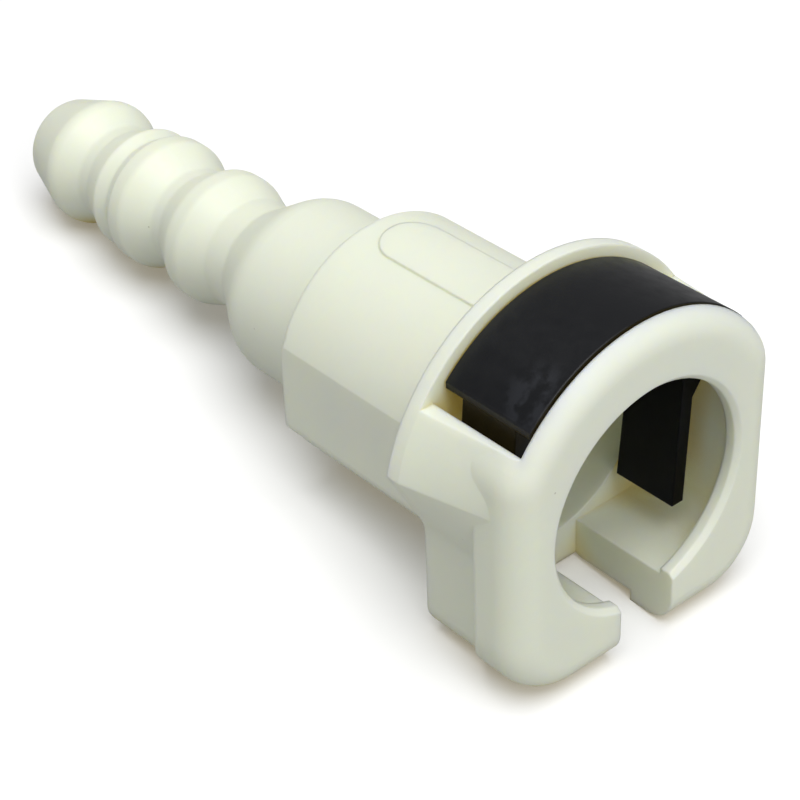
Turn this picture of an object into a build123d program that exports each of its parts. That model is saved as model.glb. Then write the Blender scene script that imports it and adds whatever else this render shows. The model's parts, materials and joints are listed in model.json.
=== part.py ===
"""Quick-connect coupling for 9.5 mm fluid lines, with a barbed hose stem.

One moulded body carries the barbed stem, the seal barrel and the head. The
head holds a press-to-release retainer clip; the barrel holds two o-rings, the
spacer ring between them and the bushing that keeps them in.

Stations along the flow axis are measured back from the mouth face, which is
station 0, so every station inside the part is negative. The coupling lies as
it comes to rest: on the feet of its head and on the first barb of its stem.
"""
import os
from math import acos, atan2, cos, hypot, radians, sin, sqrt

from build123d import *

# ---- line and fits -------------------------------------------------------
tube_d = 9.49            # tube that plugs in (3/8 in line)
bead_d = 13.4            # bead rolled on that tube
mouth_clearance = 0.25   # radial, bead in the mouth
pilot_clearance = 0.08   # radial, tube in its pilot bore
seal_slack = 0.05        # loose rings in the seal bore, radial and endwise
clip_slack = 0.15        # between the retainer clip and its window

# ---- head ----------------------------------------------------------------
head_length = 8.6        # mouth face to back of the rim
rim_r = 11.65            # round crown of the head
rim_t = 0.9              # disc behind the window
plate_r = 11.15          # round top of the mouth plate
plate_half_width = 9.95
plate_foot = 10.35       # flow axis to the sole of the plate
plate_corner = 4.4       # lower corners of the plate
plate_shoulder = 3.0     # where its round top meets its straight sides
plate_depth = 3.2        # thickness of the plate at its sides
plate_web = 0.95         # what is left of it in front of the window
plate_round = 1.8        # soft front edge of the plate
plate_blend = 1.2        # length of the blend from the plate back to the feet
plate_flush = 0.05       # sides of the head run out this far inside the plate
mouth_round = 0.3        # soft edge of the mouth
leg_half_width = 8.8     # outside of the feet behind the plate
leg_foot = 9.6           # flow axis to the sole behind the plate
leg_corner = 1.8
neck_top = 2.6           # the crown narrows to the feet between these heights
neck_low = -2.0
neck_round = 2.4
cheek_fullness = 0.75    # half way down, the front of a cheek is this near full width
heel_round = 1.6         # lower back corner of the feet
foot_gap = 4.1           # slot between the two feet
sill = 6.5               # window sills above the flow axis
cavity_half_width = 7.6  # beside the legs
cavity_top_width = 8.7   # half width above the ledges, behind thin sills
cavity_foot = 7.0        # flow axis down to the floor of the cavity
cavity_corner = 1.5

# ---- barrel and shoulder ---------------------------------------------------
barrel_r = 7.95
barrel_length = 14.0
barrel_edge = 0.4
side_flat = 7.55         # flow axis to the flats on the barrel's sides
flat_drop = 3.9          # flow axis down to the lower edge of those flats
flat_corner = 1.0
panel_width = 4.2        # bare raised panel along the top of the barrel
panel_back = 21.0        # mouth face to the round end of the panel
panel_height = 0.15
shoulder_r = 5.95
shoulder_length = 7.3
shoulder_ramp = 3.6
shoulder_round = 2.6
shoulder_edge = 0.2      # crease where the shoulder meets the barrel

# ---- barbed stem -----------------------------------------------------------
flow_r = 2.2             # passage through the stem
root_r = 3.4             # stem between the barbs
throat_r = 3.7           # stem next to the shoulder
throat_length = 1.9
barb_r = 4.5             # crests of the barbs
barb_land = 1.1          # flat top of a barb
barb_fall = 2.2          # side of a barb that faces the head
barb_rise = 2.1          # side that faces the tip
root_length = 0.9        # stem shown between two barbs
groove_width = 1.0       # groove behind the middle barb
groove_r = 3.95
groove_round = 0.2
bump_r = 4.3             # ring on the far side of that groove
bump_round = 0.4
nose_length = 4.4        # crest of the first barb to the end of the stem
nose_r = 3.1             # stem at its open end
nose_edge = 1.0
crest_round = 1.3        # first barb
crest_edge = 0.12        # crisp side of the middle barb
root_round = 0.7
barb_round = 0.9

# ---- seals -----------------------------------------------------------------
seal_bore_r = 6.75
pilot_length = 10.0
oring_bore_r = 4.62
spacer_width = 1.5
bushing_width = 2.8
bead_room = 2.7          # chamber in front of the bushing, for the tube's bead
snap_width = 0.8         # ridge that snaps the bushing into its groove
snap_height = 0.25
bushing_lead = 0.6       # funnel in the front of the bushing

# ---- retainer clip ---------------------------------------------------------
clip_press = 0.65        # travel of the clip
clip_stop_gap = 0.05     # left between its shoulders and the ledges at the end of it
arch_foot = 7.2          # height of the arch's ends
clip_r = 11.2            # outside of the arch
arch_edge = 0.4          # thickness of the arch where it overhangs the sills
arch_inner_top = 8.8     # height of the hollow under the arch
leg_clearance = 0.1      # radial, tube between the legs
shoulder_half_width = 7.95  # clip's shoulders, under the ends of the arch
clip_shoulder = 4.6      # height of their lower faces, which stop on the ledges
toe_half_width = 6.1     # outside of the legs at the toes
toe_drop = 4.8           # flow axis down to the toes
hip_half_width = 7.2     # outside of the legs under the shoulders
hip_low = 2.6            # they narrow to the toes down to this height
legs_back = 0.5          # legs stand in from the back edge of the arch
legs_front = 0.8         # and from its front edge
bead_ramp = 0.9          # round on the legs, where the bead pushes them apart
clip_edge = 0.15         # soft edges of the arch

# ---- stations worked out from the sizes ------------------------------------
mouth_r = bead_d / 2 + mouth_clearance
pilot_r = tube_d / 2 + pilot_clearance
oring_section = seal_bore_r - seal_slack - oring_bore_r
rim_back = -head_length
window_back = rim_back + rim_t
window_front = -plate_web
barrel_back = rim_back - barrel_length
shoulder_back = barrel_back - shoulder_length
throat_front = shoulder_back - shoulder_ramp
throat_back = throat_front - throat_length
barb3_land = throat_back - barb_fall
barb3_crest = barb3_land - barb_land
barb3_back = barb3_crest - barb_rise
barb2_front = barb3_back - root_length
barb2_land = barb2_front - barb_fall
barb2_crest = barb2_land - barb_land
bump_crest = barb2_crest - 2 * groove_width
bump_back = bump_crest - barb_rise
barb1_front = bump_back - root_length
barb1_crest = barb1_front - barb_rise
stem_end = barb1_crest - nose_length

bushing_front = window_back - bead_room
bushing_back = bushing_front - bushing_width
snap_middle = (bushing_front + bushing_back) / 2
front_oring_mid = bushing_back - seal_slack - oring_section / 2
spacer_front = front_oring_mid - oring_section / 2 - seal_slack
spacer_back = spacer_front - spacer_width
rear_oring_mid = spacer_back - seal_slack - oring_section / 2
seal_floor = rear_oring_mid - oring_section / 2 - seal_slack
pilot_end = seal_floor - pilot_length

ledge = clip_shoulder - clip_press - clip_stop_gap
leg_gap = tube_d + 2 * leg_clearance
same_place = 0.001       # two points this close are one, when edges are picked


def rounded_corner_centre(before, corner, after, radius):
    """Centre of the arc that rounds one corner of an outline."""
    back = (Vector(*before) - Vector(*corner)).normalized()
    ahead = (Vector(*after) - Vector(*corner)).normalized()
    half_angle = radians(back.get_angle(ahead)) / 2
    return Vector(*corner) + (back + ahead).normalized() * (radius / sin(half_angle))


# ---- how the coupling lies -------------------------------------------------
# It rests on the back edge of the plate's sole and on the crest of the first
# barb. The floor line touches both, and its slope is the tilt of the flow axis.
crest = rounded_corner_centre(
    (stem_end, nose_r), (barb1_crest, barb_r), (barb1_front, root_r), crest_round
)
span = -plate_depth - crest.X
drop = plate_foot - crest.Y
tilt = acos(crest_round / hypot(span, drop)) - atan2(span, drop)
flow_axis = Vector(cos(tilt), 0, sin(tilt))
mouth_height = plate_foot * cos(tilt) + plate_depth * sin(tilt)

# the origin is on the floor, under the middle of the coupling's length
tail_edge = rounded_corner_centre(
    (stem_end, 0), (stem_end, nose_r), (barb1_crest, barb_r), nose_edge
)
tail_x = tail_edge.X * cos(tilt) - tail_edge.Y * sin(tilt) - nose_edge
toe_x = plate_round - plate_round * cos(tilt) + (plate_foot - plate_round) * sin(tilt)
mouth = Vector(-(tail_x + toe_x) / 2, 0, mouth_height)


def station(s):
    """Cross-section plane: x runs across the coupling, y up from the flow axis."""
    return Plane(origin=mouth + flow_axis * s, x_dir=(0, 1, 0), z_dir=flow_axis)


# lengthwise plane through the flow axis: x is the station, y the radius
lengthwise = Plane(origin=mouth, x_dir=flow_axis, z_dir=(0, -1, 0))
flow_line = Axis(mouth, flow_axis)

# plane through the flow axis seen from above: x is the station, y across
plan = Plane(origin=mouth, x_dir=flow_axis, z_dir=flow_axis.cross(Vector(0, 1, 0)))


# ---- head: round rim disc, and sides that run forward from it -------------------
def head_section(s, sill_x, cheek, cheek_x):
    """Section below the window sills at one station, widest at the height neck_top."""
    with BuildSketch(station(s)) as section:
        with BuildLine():
            Line((-sill_x, sill), (sill_x, sill))
            ThreePointArc((sill_x, sill), cheek, (cheek_x, neck_top))
            FilletPolyline(
                (cheek_x, neck_top),
                (leg_half_width, neck_low),
                (leg_half_width, -leg_foot),
                (-leg_half_width, -leg_foot),
                (-leg_half_width, neck_low),
                (-cheek_x, neck_top),
                radius=[neck_round, leg_corner, leg_corner, neck_round],
            )
            ThreePointArc((-cheek_x, neck_top), (-cheek[0], cheek[1]), (-sill_x, sill))
        make_face()
    return section.sketch


def round_x(radius, height):
    """Half width of a circle at a height above its centre."""
    return sqrt(radius**2 - height**2)


plate_top = round_x(plate_r, plate_half_width)
front_x = plate_half_width - plate_flush
front_sill_x = round_x(plate_r, sill) - plate_flush
rim_x = round_x(rim_r, neck_top)

cheek_height = (sill + neck_top) / 2
back_sizes = (round_x(rim_r, sill), (round_x(rim_r, cheek_height), cheek_height), rim_x)
front_cheek_x = front_sill_x + cheek_fullness * (front_x - front_sill_x)
front_sizes = (front_sill_x, (front_cheek_x, cheek_height), front_x)

with BuildPart() as head_sides:
    add(head_section(rim_back, *back_sizes))
    extrude(amount=rim_t, dir=flow_axis)
    loft([head_section(window_back, *back_sizes), head_section(-plate_round, *front_sizes)], ruled=True)
    # round the lower back corners
    with BuildSketch(lengthwise):
        with Locations((rim_back, -leg_foot)):
            Rectangle(2 * heel_round, 2 * heel_round)
        with Locations((rim_back + heel_round, heel_round - leg_foot)):
            Circle(heel_round, mode=Mode.SUBTRACT)
    extrude(amount=rim_r, both=True, mode=Mode.SUBTRACT)


# ---- plate round the mouth, on two broad soles --------------------------------
def plate_section(s):
    """Outline of the mouth plate, drawn at one station."""
    with BuildSketch(station(s)) as section:
        with BuildLine():
            ThreePointArc((-plate_half_width, plate_top), (0, plate_r), (plate_half_width, plate_top))
            FilletPolyline(
                (plate_half_width, plate_top),
                (plate_half_width, -plate_foot),
                (-plate_half_width, -plate_foot),
                (-plate_half_width, plate_top),
                radius=[plate_corner, plate_corner],
            )
        make_face()
        fillet(vertices().filter_by(lambda v: abs(v.Y - plate_top) < same_place), radius=plate_shoulder)
    return section.sketch


with BuildPart() as mouth_plate:
    add(plate_section(-plate_depth))
    extrude(amount=plate_depth, dir=flow_axis)
    plate_front = faces().sort_by(flow_line)[-1]
    fillet(plate_front.outer_wire().edges(), radius=plate_round)

# the sides of the plate run back into the feet in a smooth curve
blend_back = -plate_depth - plate_blend
blend_middle = -plate_depth - plate_blend / 2

with BuildPart() as side_blends:
    add(plate_section(blend_back))
    extrude(amount=plate_blend, dir=flow_axis)
    with BuildSketch(plan):
        with BuildLine():
            Bezier(
                (blend_back, leg_half_width),
                (blend_middle, leg_half_width),
                (blend_middle, plate_half_width),
                (-plate_depth, plate_half_width),
            )
            Line((-plate_depth, plate_half_width), (-plate_depth, -plate_half_width))
            Bezier(
                (-plate_depth, -plate_half_width),
                (blend_middle, -plate_half_width),
                (blend_middle, -leg_half_width),
                (blend_back, -leg_half_width),
            )
            Line((blend_back, -leg_half_width), (blend_back, leg_half_width))
        make_face()
    extrude(amount=2 * plate_foot, both=True, mode=Mode.INTERSECT)
    with BuildSketch(station(blend_back)):
        with Locations((0, plate_foot - leg_foot)):
            Rectangle(2 * rim_r, 2 * plate_foot)
    extrude(amount=plate_blend, mode=Mode.INTERSECT)

# ---- bare raised panel along the top of the barrel -----------------------------
with BuildPart() as barrel_panel:
    with BuildSketch(plan):
        with Locations(((rim_back - panel_back) / 2, 0)):
            RectangleRounded(panel_back + rim_back, panel_width, panel_width / 2 - panel_height)
    extrude(amount=rim_r)
    with BuildSketch(station(-panel_back)):
        Circle(barrel_r + panel_height)
        Circle(barrel_r - panel_height, mode=Mode.SUBTRACT)
    extrude(amount=panel_back + rim_back, mode=Mode.INTERSECT)

# ---- one-piece moulded body ----------------------------------------------------
with BuildPart() as coupling_body:
    add(head_sides.part)
    with BuildSketch(station(rim_back)):
        with BuildLine():
            ThreePointArc((-rim_x, neck_top), (0, rim_r), (rim_x, neck_top))
            Line((rim_x, neck_top), (-rim_x, neck_top))
        make_face()
    extrude(amount=rim_t)
    add(mouth_plate.part)
    add(side_blends.part)

    # stem, shoulder and barrel in one turned outline
    with BuildSketch(lengthwise):
        with BuildLine():
            FilletPolyline(
                (stem_end, 0),
                (stem_end, nose_r),
                (barb1_crest, barb_r),
                (barb1_front, root_r),
                (bump_back, root_r),
                (bump_crest, bump_r),
                (bump_crest + groove_width, groove_r),
                (barb2_crest, barb_r),
                (barb2_land, barb_r),
                (barb2_front, root_r),
                (barb3_back, root_r),
                (barb3_crest, barb_r),
                (barb3_land, barb_r),
                (throat_back, throat_r),
                (throat_front, throat_r),
                (shoulder_back, shoulder_r),
                (barrel_back, shoulder_r),
                (barrel_back, barrel_r),
                (rim_back + rim_t / 2, barrel_r),
                (rim_back + rim_t / 2, 0),
                radius=[
                    0, nose_edge, crest_round, root_round, root_round, bump_round, groove_round,
                    crest_edge, barb_round, root_round, root_round, barb_round, barb_round, root_round,
                    root_round, shoulder_round, shoulder_edge, barrel_edge, 0, 0,
                ],
                close=True,
            )
        make_face()
    revolve(axis=flow_line)

    # the barrel's lower half is squared between two side flats
    with BuildSketch(station(barrel_back)):
        with BuildLine():
            FilletPolyline(
                (side_flat, 0),
                (side_flat, -flat_drop),
                (-side_flat, -flat_drop),
                (-side_flat, 0),
                radius=[0, flat_corner, flat_corner, 0],
                close=True,
            )
        make_face()
    extrude(amount=barrel_length)
    with BuildSketch(station(barrel_back)):
        with Locations((-side_flat - barrel_r, 0), (side_flat + barrel_r, 0)):
            Rectangle(2 * barrel_r, 4 * barrel_r)
    extrude(amount=barrel_length, mode=Mode.SUBTRACT)

    # bare raised panel along the top of the barrel
    add(barrel_panel.part)

    # window across the top and cavity for the clip's legs below it
    with BuildSketch(station(window_back)):
        with Locations((0, sill + rim_r)):
            Rectangle(4 * rim_r, 2 * rim_r)
    extrude(amount=window_front - window_back, mode=Mode.SUBTRACT)
    with BuildSketch(station(window_back)):
        with BuildLine():
            FilletPolyline(
                (cavity_top_width, rim_r),
                (cavity_top_width, ledge),
                (cavity_half_width, ledge),
                (cavity_half_width, -cavity_foot),
                (-cavity_half_width, -cavity_foot),
                (-cavity_half_width, ledge),
                (-cavity_top_width, ledge),
                (-cavity_top_width, rim_r),
                radius=[0, 0, 0, cavity_corner, cavity_corner, 0, 0, 0],
                close=True,
            )
        make_face()
    extrude(amount=window_front - window_back, mode=Mode.SUBTRACT)

    # slot between the feet
    with BuildSketch(station(window_back)):
        with Locations((0, -plate_foot)):
            Rectangle(foot_gap, 2 * plate_foot)
    extrude(amount=head_length, mode=Mode.SUBTRACT)

    # mouth, bead chamber, seal bore with its snap groove, pilot bore and flow passage
    with BuildSketch(lengthwise):
        with BuildLine():
            Polyline(
                (mouth_round, 0),
                (mouth_round, mouth_r + 2 * mouth_round),
                (-mouth_round, mouth_r),
                (bushing_front, mouth_r),
                (bushing_front, seal_bore_r),
                (snap_middle + snap_width / 2 + seal_slack, seal_bore_r),
                (snap_middle + snap_width / 2 + seal_slack, seal_bore_r + snap_height),
                (snap_middle - snap_width / 2 - seal_slack, seal_bore_r + snap_height),
                (snap_middle - snap_width / 2 - seal_slack, seal_bore_r),
                (seal_floor, seal_bore_r),
                (seal_floor, pilot_r),
                (pilot_end, pilot_r),
                (pilot_end - (pilot_r - flow_r), flow_r),
                (stem_end, flow_r),
                (stem_end, 0),
                close=True,
            )
        make_face()
    revolve(axis=flow_line, mode=Mode.SUBTRACT)

# ---- retainer clip: arch in the window, two legs astride the tube ------------
arch_back = window_back + clip_slack
arch_front = window_front - clip_slack
arch_x = round_x(clip_r, arch_foot + arch_edge)

with BuildPart() as retainer_clip:
    with BuildSketch(station(arch_back)):
        with BuildLine():
            ThreePointArc((-arch_x, arch_foot + arch_edge), (0, clip_r), (arch_x, arch_foot + arch_edge))
            Polyline(
                (arch_x, arch_foot + arch_edge),
                (arch_x, arch_foot),
                (-arch_x, arch_foot),
                (-arch_x, arch_foot + arch_edge),
            )
        make_face()
    extrude(amount=arch_front - arch_back)
    fillet(edges().filter_by(GeomType.CIRCLE), radius=clip_edge)
    with BuildSketch(station(arch_back + legs_back)):
        with BuildLine():
            Polyline(
                (shoulder_half_width, arch_foot),
                (shoulder_half_width, clip_shoulder),
                (hip_half_width, clip_shoulder),
                (toe_half_width, hip_low),
                (toe_half_width, -toe_drop),
                (-toe_half_width, -toe_drop),
                (-toe_half_width, hip_low),
                (-hip_half_width, clip_shoulder),
                (-shoulder_half_width, clip_shoulder),
                (-shoulder_half_width, arch_foot),
                close=True,
            )
        make_face()
    extrude(amount=arch_front - legs_front - arch_back - legs_back)
    # hollow between the legs, round under the arch
    with BuildSketch(station(arch_back)):
        with Locations((0, arch_inner_top - leg_gap / 2)):
            Circle(leg_gap / 2)
        with Locations((0, -leg_gap / 2)):
            Rectangle(leg_gap, 2 * arch_inner_top)
    extrude(amount=arch_front - arch_back, mode=Mode.SUBTRACT)
    # round the legs' front inner edges, where the bead pushes them apart
    inner_edges = edges().filter_by(
        lambda e: abs(abs((e @ 0.5).Y) - leg_gap / 2) < same_place and (e @ 0.5).Z < mouth_height
    )
    fillet(inner_edges.group_by(lambda e: (e @ 0.5 - mouth).dot(flow_axis))[-1], radius=bead_ramp)


# ---- o-rings, spacer ring and bushing -----------------------------------------
def oring(middle):
    """One o-ring, as it sits in the seal bore."""
    with BuildPart() as ring:
        with BuildSketch(lengthwise):
            with Locations((middle, oring_bore_r + oring_section / 2)):
                Circle(oring_section / 2)
        revolve(axis=flow_line)
    return ring


front_oring = oring(front_oring_mid)
rear_oring = oring(rear_oring_mid)
ring_r = seal_bore_r - seal_slack

with BuildPart() as spacer_ring:
    with BuildSketch(lengthwise):
        with Locations(((spacer_back + spacer_front) / 2, (pilot_r + ring_r) / 2)):
            Rectangle(spacer_width, ring_r - pilot_r)
    revolve(axis=flow_line)

with BuildPart() as seal_bushing:
    with BuildSketch(lengthwise):
        with BuildLine():
            Polyline(
                (bushing_back, pilot_r),
                (bushing_back, ring_r),
                (snap_middle - snap_width / 2, ring_r),
                (snap_middle, ring_r + snap_height),
                (snap_middle + snap_width / 2, ring_r + snap_height),
                (snap_middle + snap_width / 2, ring_r),
                (bushing_front, ring_r),
                (bushing_front, pilot_r + bushing_lead),
                (bushing_front - bushing_lead, pilot_r),
                close=True,
            )
        make_face()
    revolve(axis=flow_line)

# ---- one file for each piece -----------------------------------------------------
pieces = {
    "coupling_body": coupling_body,
    "retainer_clip": retainer_clip,
    "front_oring": front_oring,
    "rear_oring": rear_oring,
    "spacer_ring": spacer_ring,
    "seal_bushing": seal_bushing,
}
os.makedirs("parts", exist_ok=True)
for name, piece in pieces.items():
    piece.part.label = name
    export_step(piece.part, f"parts/{name}.step")
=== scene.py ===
"""The look of the quick-connect coupling: finishes on the fixed frame of its CAD pieces."""
import json
import math

import bpy
from mathutils import Matrix, Vector


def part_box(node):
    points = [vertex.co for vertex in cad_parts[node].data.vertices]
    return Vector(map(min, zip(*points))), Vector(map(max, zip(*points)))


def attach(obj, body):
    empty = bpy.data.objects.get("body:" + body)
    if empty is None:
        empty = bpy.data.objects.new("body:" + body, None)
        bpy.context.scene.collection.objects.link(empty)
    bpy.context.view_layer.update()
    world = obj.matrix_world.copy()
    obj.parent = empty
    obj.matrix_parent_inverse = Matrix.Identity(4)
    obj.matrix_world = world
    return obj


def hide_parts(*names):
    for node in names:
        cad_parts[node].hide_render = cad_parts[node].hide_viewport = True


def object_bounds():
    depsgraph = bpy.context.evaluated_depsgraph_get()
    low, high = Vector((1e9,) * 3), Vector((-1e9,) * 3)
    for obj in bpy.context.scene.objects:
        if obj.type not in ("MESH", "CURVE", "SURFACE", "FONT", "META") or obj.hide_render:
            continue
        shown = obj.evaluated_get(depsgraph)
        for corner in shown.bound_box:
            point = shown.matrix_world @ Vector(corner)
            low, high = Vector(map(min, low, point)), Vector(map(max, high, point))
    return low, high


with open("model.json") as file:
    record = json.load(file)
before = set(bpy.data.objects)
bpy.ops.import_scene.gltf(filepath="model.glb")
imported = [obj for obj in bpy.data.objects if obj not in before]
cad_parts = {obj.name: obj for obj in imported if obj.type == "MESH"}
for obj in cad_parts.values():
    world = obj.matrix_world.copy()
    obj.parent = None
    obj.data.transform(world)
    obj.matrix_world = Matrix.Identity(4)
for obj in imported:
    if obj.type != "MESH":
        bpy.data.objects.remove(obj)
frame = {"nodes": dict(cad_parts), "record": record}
cad_low, cad_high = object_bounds()

# ---- coupling body -----------------------------------------------------------
# One injection moulding in natural, unpigmented nylon: barbed stem, shoulder,
# seal barrel and head. The steel of its mould is finely blasted, so the surface
# is satin, and the thin walls let a little light through.
MM = 0.001


def linear(code):
    """Linear colour of an sRGB hex code."""
    channels = [int(code[i:i + 2], 16) / 255 for i in (1, 3, 5)]
    return [c / 12.92 if c <= 0.04045 else ((c + 0.055) / 1.055) ** 2.4 for c in channels] + [1.0]


def add_node(material, kind, inputs=None, **settings):
    """Adds a node; inputs maps its socket names or numbers to values or to other nodes' outputs."""
    made = material.node_tree.nodes.new(kind)
    for name, value in settings.items():
        setattr(made, name, value)
    for name, value in (inputs or {}).items():
        if isinstance(value, bpy.types.NodeSocket):
            material.node_tree.links.new(value, made.inputs[name])
        else:
            made.inputs[name].default_value = value
    return made


def new_material(name):
    """An empty node material and its output node."""
    material = bpy.data.materials.new(name)
    material.use_nodes = True
    material.node_tree.nodes.clear()
    return material, add_node(material, "ShaderNodeOutputMaterial")


def finish_node(node, material):
    """Gives a carried-over CAD piece its material."""
    piece = frame["nodes"][node]
    for place in piece.material_slots:
        place.material = material


def natural_nylon():
    """Satin ivory, milky at thin edges, with a few fine specks; its hollows get painted yellow
    shade and a faint painted glow.
    """
    ivory = linear("#EDF0DD")
    ivory_cool = linear("#E8EEDD")
    # painted shade and painted glow for the hollows
    painted_hollow_shade = linear("#C8B552")
    painted_hollow_glow = linear("#EAD06A")
    painted_glow_strength = 0.12
    speck = linear("#A7A38C")
    cloud_size = 6 * MM
    grain_size = 0.22 * MM
    ripple_size = 2.2 * MM
    speck_spacing = 3.2 * MM
    material, output = new_material("natural_nylon_moulded")
    place = add_node(material, "ShaderNodeTexCoord").outputs["Object"]
    # slow cloudiness of the unpigmented resin
    cloud = add_node(
        material, "ShaderNodeTexNoise", {"Vector": place, "Scale": 1 / cloud_size, "Detail": 3.0}
    )
    clouded = add_node(
        material, "ShaderNodeMix",
        {"Factor": cloud.outputs["Fac"], "A": ivory, "B": ivory_cool}, data_type="RGBA",
    )
    # painted shade: the more enclosed a spot is, the more its colour goes to a darker yellow
    open_sky = add_node(material, "ShaderNodeAmbientOcclusion", {"Distance": 3.5 * MM}, samples=8)
    painted_shade_depth = add_node(
        material, "ShaderNodeMapRange",
        {"Value": open_sky.outputs["AO"], "From Min": 0.6, "From Max": 0.1, "To Max": 0.95},
    )
    painted_hollow_shaded = add_node(
        material, "ShaderNodeMix",
        {"Factor": painted_shade_depth.outputs["Result"], "A": clouded.outputs["Result"], "B": painted_hollow_shade},
        data_type="RGBA",
    )
    # painted light: a faint yellow glow in the hollows, strongest where they are most enclosed
    painted_glow = add_node(
        material, "ShaderNodeMath", {0: painted_shade_depth.outputs["Result"], 1: painted_glow_strength},
        operation="MULTIPLY",
    )
    # sparse dark specks, as in any unpigmented moulding
    cells = add_node(
        material, "ShaderNodeTexVoronoi", {"Vector": place, "Scale": 1 / speck_spacing},
    )
    dot = add_node(
        material, "ShaderNodeMapRange",
        {
            "Value": cells.outputs["Distance"], "From Min": 0.012, "From Max": 0.024,
            "To Min": 0.6, "To Max": 0.0,
        },
    )
    speckled = add_node(
        material, "ShaderNodeMix",
        {"Factor": dot.outputs["Result"], "A": painted_hollow_shaded.outputs["Result"], "B": speck},
        data_type="RGBA",
    )
    # blasted grain and the slow ripple of a moulded wall
    grain = add_node(
        material, "ShaderNodeTexNoise", {"Vector": place, "Scale": 1 / grain_size, "Detail": 2.0}
    )
    ripple = add_node(
        material, "ShaderNodeTexNoise", {"Vector": place, "Scale": 1 / ripple_size, "Detail": 1.0}
    )
    # a moulding has no knife edges
    eased = add_node(material, "ShaderNodeBevel", {"Radius": 0.2 * MM}, samples=8)
    rippled = add_node(
        material, "ShaderNodeBump",
        {
            "Height": ripple.outputs["Fac"], "Strength": 0.25, "Distance": 0.05 * MM,
            "Normal": eased.outputs["Normal"],
        },
    )
    grained = add_node(
        material, "ShaderNodeBump",
        {
            "Height": grain.outputs["Fac"], "Strength": 0.3, "Distance": 0.01 * MM,
            "Normal": rippled.outputs["Normal"],
        },
    )
    satin = add_node(
        material, "ShaderNodeMapRange",
        {
            "Value": grain.outputs["Fac"], "From Min": 0.3, "From Max": 0.7,
            "To Min": 0.4, "To Max": 0.5,
        },
    )
    shader = add_node(
        material, "ShaderNodeBsdfPrincipled",
        {
            "Base Color": speckled.outputs["Result"], "Roughness": satin.outputs["Result"],
            "Normal": grained.outputs["Normal"], "IOR": 1.53,
            "Subsurface Weight": 0.6, "Subsurface Radius": (1.0, 0.88, 0.45),
            "Subsurface Scale": 1.6 * MM,
            "Emission Color": painted_hollow_glow, "Emission Strength": painted_glow.outputs["Value"],
        },
    )
    material.node_tree.links.new(shader.outputs["BSDF"], output.inputs["Surface"])
    # the painted glow is too faint to light anything else
    material.cycles.emission_sampling = "NONE"
    return material


body_material = natural_nylon()
finish_node("coupling_body", body_material)

# ---- retainer clip -------------------------------------------------------------
# One injection moulding in black nylon: an arch in the head's window, with two
# legs astride the tube. It is satin with a fine grain, and has a scuffed patch
# at one end of the arch.


def black_nylon():
    """Blue-black satin plastic; the grain breaks up its broad soft sheen."""
    black = linear("#05070C")
    scuffed = linear("#1D1F24")
    grain_size = 0.12 * MM
    mottle_size = 0.8 * MM
    low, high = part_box("retainer_clip")
    scuff_centre = Vector((high.x - 1.7 * MM, low.y + 2.2 * MM, high.z - 3.4 * MM))
    scuff_radius = 2.6 * MM
    material, output = new_material("black_nylon_moulded")
    place = add_node(material, "ShaderNodeTexCoord").outputs["Object"]
    grain = add_node(
        material, "ShaderNodeTexNoise", {"Vector": place, "Scale": 1 / grain_size, "Detail": 3.0}
    )
    mottle = add_node(
        material, "ShaderNodeTexNoise", {"Vector": place, "Scale": 1 / mottle_size, "Detail": 4.0}
    )
    away = add_node(
        material, "ShaderNodeVectorMath", {0: place, 1: scuff_centre}, operation="DISTANCE"
    )
    near = add_node(
        material, "ShaderNodeMapRange",
        {
            "Value": away.outputs["Value"], "From Min": 0.55 * scuff_radius,
            "From Max": scuff_radius, "To Min": 1.0, "To Max": 0.0,
        },
        interpolation_type="SMOOTHSTEP",
    )
    patchy = add_node(
        material, "ShaderNodeMapRange",
        {"Value": mottle.outputs["Fac"], "From Min": 0.42, "From Max": 0.58},
    )
    scuff = add_node(
        material, "ShaderNodeMath", {0: near.outputs["Result"], 1: patchy.outputs["Result"]},
        operation="MULTIPLY",
    )
    colour = add_node(
        material, "ShaderNodeMix",
        {"Factor": scuff.outputs["Value"], "A": black, "B": scuffed}, data_type="RGBA",
    )
    gloss = add_node(
        material, "ShaderNodeMapRange",
        {
            "Value": mottle.outputs["Fac"], "From Min": 0.3, "From Max": 0.7,
            "To Min": 0.36, "To Max": 0.46,
        },
    )
    # polished by handling outside, dull inside the head
    height = add_node(material, "ShaderNodeSeparateXYZ", {"Vector": place})
    dull_below = low.z + 0.6 * (high.z - low.z)
    polished_above = low.z + 0.76 * (high.z - low.z)
    sheen = add_node(
        material, "ShaderNodeMapRange",
        {
            "Value": height.outputs["Z"], "From Min": dull_below, "From Max": polished_above,
            "To Min": 0.08, "To Max": 0.36,
        },
    )
    # soft corners, as the mould leaves them
    eased = add_node(material, "ShaderNodeBevel", {"Radius": 0.14 * MM}, samples=6)
    grained = add_node(
        material, "ShaderNodeBump",
        {
            "Height": grain.outputs["Fac"], "Strength": 0.35, "Distance": 0.012 * MM,
            "Normal": eased.outputs["Normal"],
        },
    )
    shader = add_node(
        material, "ShaderNodeBsdfPrincipled",
        {
            "Base Color": colour.outputs["Result"], "Roughness": gloss.outputs["Result"],
            "Normal": grained.outputs["Normal"], "IOR": 1.53,
            "Specular IOR Level": sheen.outputs["Result"],
        },
    )
    material.node_tree.links.new(shader.outputs["BSDF"], output.inputs["Surface"])
    return material


# Sections lie across the flow axis: y is across the coupling, w is up from that
# axis. Stations run along it and are negative behind the mouth.
port = next(m for m in frame["record"]["mounts"] if m["name"] == "tube_port")
flow_axis = Vector(port["axis"]).normalized()
up_axis = Vector((-flow_axis.z, 0, flow_axis.x))
port_depth = 24.06 * MM
mouth = Vector(port["pos_m"]) + flow_axis * port_depth


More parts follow.
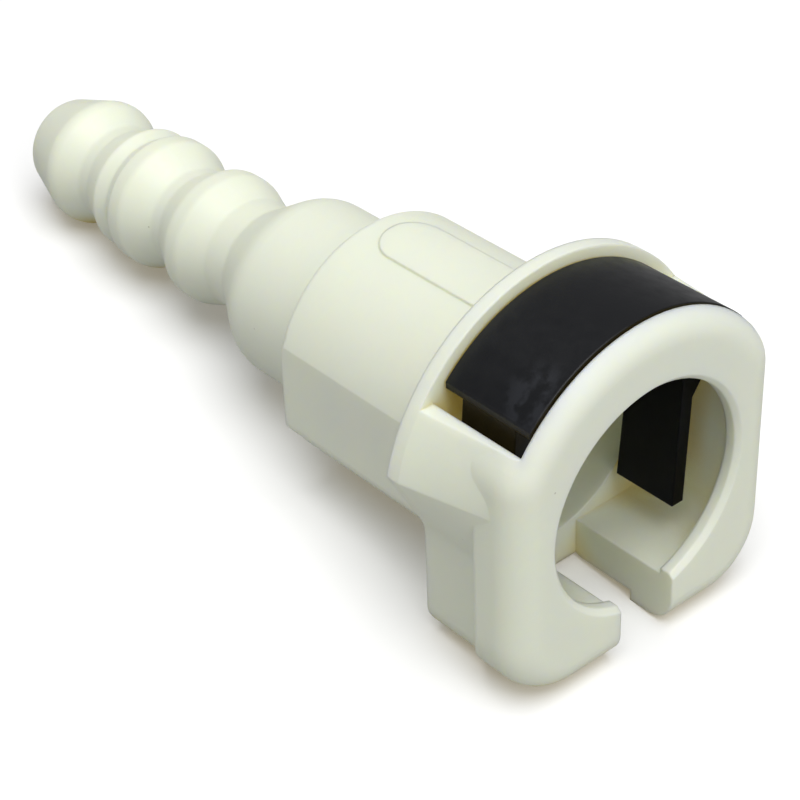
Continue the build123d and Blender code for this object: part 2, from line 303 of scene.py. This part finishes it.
def prism(name, section, back, front, back_slant=0.0, front_slant=0.0):
    """A closed solid from a section in millimetres, between two stations behind the mouth."""
    count = len(section)
    ends = []
    for station, slant in ((back, back_slant), (front, front_slant)):
        for y, w in section:
            along = station + slant * w
            ends.append(mouth + (flow_axis * along + up_axis * w) * MM + Vector((0, y * MM, 0)))
    sides = [(i, (i + 1) % count, count + (i + 1) % count, count + i) for i in range(count)]
    faces = [tuple(reversed(range(count))), tuple(range(count, 2 * count)), *sides]
    mesh = bpy.data.meshes.new(name)
    mesh.from_pydata(ends, [], faces)
    mesh.update()
    solid = bpy.data.objects.new(name, mesh)
    bpy.context.collection.objects.link(solid)
    return solid


def arc(radius, centre_w, start, end, steps):
    """Points on a circle about a point above the flow axis; angles in degrees from +y."""
    angles = [math.radians(start + (end - start) * i / steps) for i in range(steps + 1)]
    return [(radius * math.cos(a), centre_w + radius * math.sin(a)) for a in angles]


# sizes in millimetres
arch_r = 10.98           # outside of the arch
arch_foot = 7.2          # height of the arch's ends
arch_edge = 0.4          # thickness of the arch at its ends
arch_back = -7.55
arch_front = -1.15
arch_steps = 64
leg_gap = 9.69           # between the legs
hollow_top = 8.8         # top of the round hollow under the arch
hollow_steps = 24
leg_ease = 0.02          # legs start this far outside the hollow
leg_root = 0.5           # and this far up inside the arch
leg_steps = 16
shoulder_half = 7.88     # outside of the legs, under the arch
shoulder_foot = 4.6
hip_half = 7.0           # outside of the legs, under their shoulders
hip_foot = 2.6           # they narrow down to this height
toe_half = 5.75          # outside of the legs at their toes
toe_foot = -4.8
legs_back = -6.85        # stations of the legs level with the flow axis
legs_front = -2.6
back_slant = 0.08        # the legs lean this much for each millimetre down
front_slant = 0.045
crease_angle = math.radians(25)

hollow_r = leg_gap / 2
hollow_w = hollow_top - hollow_r
leg_r = hollow_r + leg_ease
leg_top = arch_foot + leg_root
end_angle = math.degrees(math.asin((arch_foot + arch_edge) / arch_r))
end_y = arch_r * math.cos(math.radians(end_angle))
hollow_angle = math.degrees(math.asin((arch_foot - hollow_w) / hollow_r))
root_angle = math.degrees(math.asin((leg_top - hollow_w) / leg_r))
arch_section = [
    *arc(arch_r, 0.0, end_angle, 180 - end_angle, arch_steps),
    (-end_y, arch_foot),
    *arc(hollow_r, hollow_w, 180 - hollow_angle, hollow_angle, hollow_steps),
    (end_y, arch_foot),
]
right_leg_section = [
    (shoulder_half, leg_top),
    *arc(leg_r, hollow_w, root_angle, 0, leg_steps),
    (leg_r, toe_foot),
    (toe_half, toe_foot),
    (toe_half, hip_foot),
    (hip_half, shoulder_foot),
    (shoulder_half, shoulder_foot),
]
left_leg_section = [(-y, w) for y, w in reversed(right_leg_section)]

clip = prism("retainer_clip_moulding", arch_section, arch_back, arch_front)
clip_parts = [
    prism(name, section, legs_back, legs_front, back_slant, front_slant)
    for name, section in (("right_leg", right_leg_section), ("left_leg", left_leg_section))
]
for part in clip_parts:
    union = clip.modifiers.new("joined_" + part.name, "BOOLEAN")
    union.operation = "UNION"
    union.solver = "EXACT"
    union.object = part
joined_clip = clip.evaluated_get(bpy.context.evaluated_depsgraph_get())
clip_mesh = bpy.data.meshes.new_from_object(joined_clip)
clip.modifiers.clear()
clip.data = clip_mesh
for part in clip_parts:
    bpy.data.objects.remove(part)
for face in clip.data.polygons:
    face.use_smooth = True
clip.data.set_sharp_from_angle(angle=crease_angle)
clip.data.materials.clear()
clip.data.materials.append(black_nylon())
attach(clip, "clip")
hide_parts("retainer_clip")

# ---- o-rings ---------------------------------------------------------------------
# Two moulded nitrile rubber rings in the seal bore, lightly oiled, so the dark
# rubber carries a thin wet sheen.


def oiled_rubber():
    """Near-black rubber with a thin wet coat all over."""
    rubber = linear("#1E1E1F")
    grain_size = 0.15 * MM
    material, output = new_material("nitrile_rubber_oiled")
    place = add_node(material, "ShaderNodeTexCoord").outputs["Object"]
    grain = add_node(
        material, "ShaderNodeTexNoise", {"Vector": place, "Scale": 1 / grain_size, "Detail": 2.0}
    )
    grained = add_node(
        material, "ShaderNodeBump",
        {"Height": grain.outputs["Fac"], "Strength": 0.3, "Distance": 0.01 * MM},
    )
    shader = add_node(
        material, "ShaderNodeBsdfPrincipled",
        {
            "Base Color": rubber, "Roughness": 0.6, "Normal": grained.outputs["Normal"],
            "IOR": 1.52, "Coat Weight": 0.4, "Coat Roughness": 0.2,
        },
    )
    material.node_tree.links.new(shader.outputs["BSDF"], output.inputs["Surface"])
    return material


rubber_material = oiled_rubber()
for ring in ("front_oring", "rear_oring"):
    finish_node(ring, rubber_material)

# ---- spacer ring and bushing -------------------------------------------------------
# Two plain rings moulded in the same natural nylon as the body: one between the
# seals, and one snapped into the bore in front of them.
for ring in ("spacer_ring", "seal_bushing"):
    finish_node(ring, body_material)

# ---- floor -----------------------------------------------------------------------
# A plain white sheet that keeps the coupling's soft shadow. The light it throws
# back on the coupling is weaker than the white that is seen, and away from the
# coupling it runs out to pure white.
floor_half = 1.5
shadow_reach = 70 * MM
white_from = 140 * MM
middle = (cad_low + cad_high) / 2
floor_mesh = bpy.data.meshes.new("floor")
floor_mesh.from_pydata(
    [(-floor_half, -floor_half, 0), (floor_half, -floor_half, 0),
     (floor_half, floor_half, 0), (-floor_half, floor_half, 0)],
    [], [(0, 1, 2, 3)],
)
floor = bpy.data.objects.new("floor", floor_mesh)
bpy.context.collection.objects.link(floor)

sheet, sheet_output = new_material("white_sheet")
seen = add_node(sheet, "ShaderNodeLightPath")
grey_bounce = add_node(sheet, "ShaderNodeBsdfDiffuse", {"Color": linear("#B4B4B4")})
white_paper = add_node(sheet, "ShaderNodeBsdfDiffuse", {"Color": linear("#F4F4F4")})
lift = add_node(sheet, "ShaderNodeEmission", {"Color": (1, 1, 1, 1), "Strength": 0.12})
lifted = add_node(
    sheet, "ShaderNodeAddShader", {0: white_paper.outputs["BSDF"], 1: lift.outputs["Emission"]}
)
spot = add_node(sheet, "ShaderNodeNewGeometry")
reach = add_node(
    sheet, "ShaderNodeVectorMath", {0: spot.outputs["Position"], 1: middle}, operation="DISTANCE"
)
fade = add_node(
    sheet, "ShaderNodeMapRange",
    {"Value": reach.outputs["Value"], "From Min": shadow_reach, "From Max": white_from},
)
tent_wall = add_node(sheet, "ShaderNodeEmission", {"Color": (1, 1, 1, 1), "Strength": 1.0})
swept = add_node(
    sheet, "ShaderNodeMixShader",
    {"Fac": fade.outputs["Result"], 1: lifted.outputs["Shader"], 2: tent_wall.outputs["Emission"]},
)
for_camera = add_node(
    sheet, "ShaderNodeMixShader",
    {
        "Fac": seen.outputs["Is Camera Ray"], 1: grey_bounce.outputs["BSDF"],
        2: swept.outputs["Shader"],
    },
)
sheet.node_tree.links.new(for_camera.outputs["Shader"], sheet_output.inputs["Surface"])
floor_mesh.materials.append(sheet)

# ---- light -----------------------------------------------------------------------
# A white tent: even light from all round, a large soft lamp overhead, and a
# weaker one in front.
world = bpy.data.worlds.new("tent")
bpy.context.scene.world = world
world.use_nodes = True
world.node_tree.nodes.clear()
tent_ray = add_node(world, "ShaderNodeLightPath")
tent_fill = add_node(world, "ShaderNodeBackground", {"Color": (1, 1, 1, 1), "Strength": 0.29})
tent_white = add_node(world, "ShaderNodeBackground", {"Color": (1, 1, 1, 1), "Strength": 1.0})
tent = add_node(
    world, "ShaderNodeMixShader",
    {"Fac": tent_ray.outputs["Is Camera Ray"], 1: tent_fill.outputs[0], 2: tent_white.outputs[0]},
)
add_node(world, "ShaderNodeOutputWorld", {"Surface": tent.outputs["Shader"]})


def soft_lamp(name, direction, distance, size, watts):
    """A square area lamp that faces the coupling."""
    data = bpy.data.lights.new(name, "AREA")
    data.shape = "SQUARE"
    data.size = size
    data.energy = watts
    lamp = bpy.data.objects.new(name, data)
    bpy.context.collection.objects.link(lamp)
    towards = Vector(direction).normalized()
    lamp.location = middle + towards * distance
    lamp.rotation_mode = "QUATERNION"
    lamp.rotation_quaternion = (-towards).to_track_quat("-Z", "Y")


soft_lamp("overhead_lamp", (0.17, -0.13, 1.0), distance=0.42, size=0.36, watts=1.63)
soft_lamp("front_lamp", (1.0, -0.1, 0.6), distance=0.5, size=0.3, watts=0.5)

# ---- camera ----------------------------------------------------------------------
# A long lens from above, in front and to one side, rolled a little to the left.
azimuth = math.radians(46.99)
elevation = math.radians(40.15)
roll = math.radians(3.43)
camera_distance = 0.13356
aim_along = 0.631    # share of the coupling's length
aim_up = 0.192       # share of its height
aim_aside = -0.16 * MM
aim = Vector(
    (
        cad_low.x + aim_along * (cad_high.x - cad_low.x),
        middle.y + aim_aside,
        cad_low.z + aim_up * (cad_high.z - cad_low.z),
    )
)
back = Vector(
    (
        math.sin(azimuth) * math.cos(elevation),
        -math.cos(azimuth) * math.cos(elevation),
        math.sin(elevation),
    )
)
camera_data = bpy.data.cameras.new("camera")
camera_data.sensor_width = 36
camera_data.lens = 98.45
camera_data.clip_start = 0.005
camera_data.clip_end = 10
camera = bpy.data.objects.new("camera", camera_data)
bpy.context.collection.objects.link(camera)
camera.matrix_world = (
    Matrix.Translation(aim + back * camera_distance)
    @ (-back).to_track_quat("-Z", "Y").to_matrix().to_4x4()
    @ Matrix.Rotation(roll, 4, "Z")
)
bpy.context.scene.camera = camera
bpy.context.scene.view_settings.view_transform = "Standard"
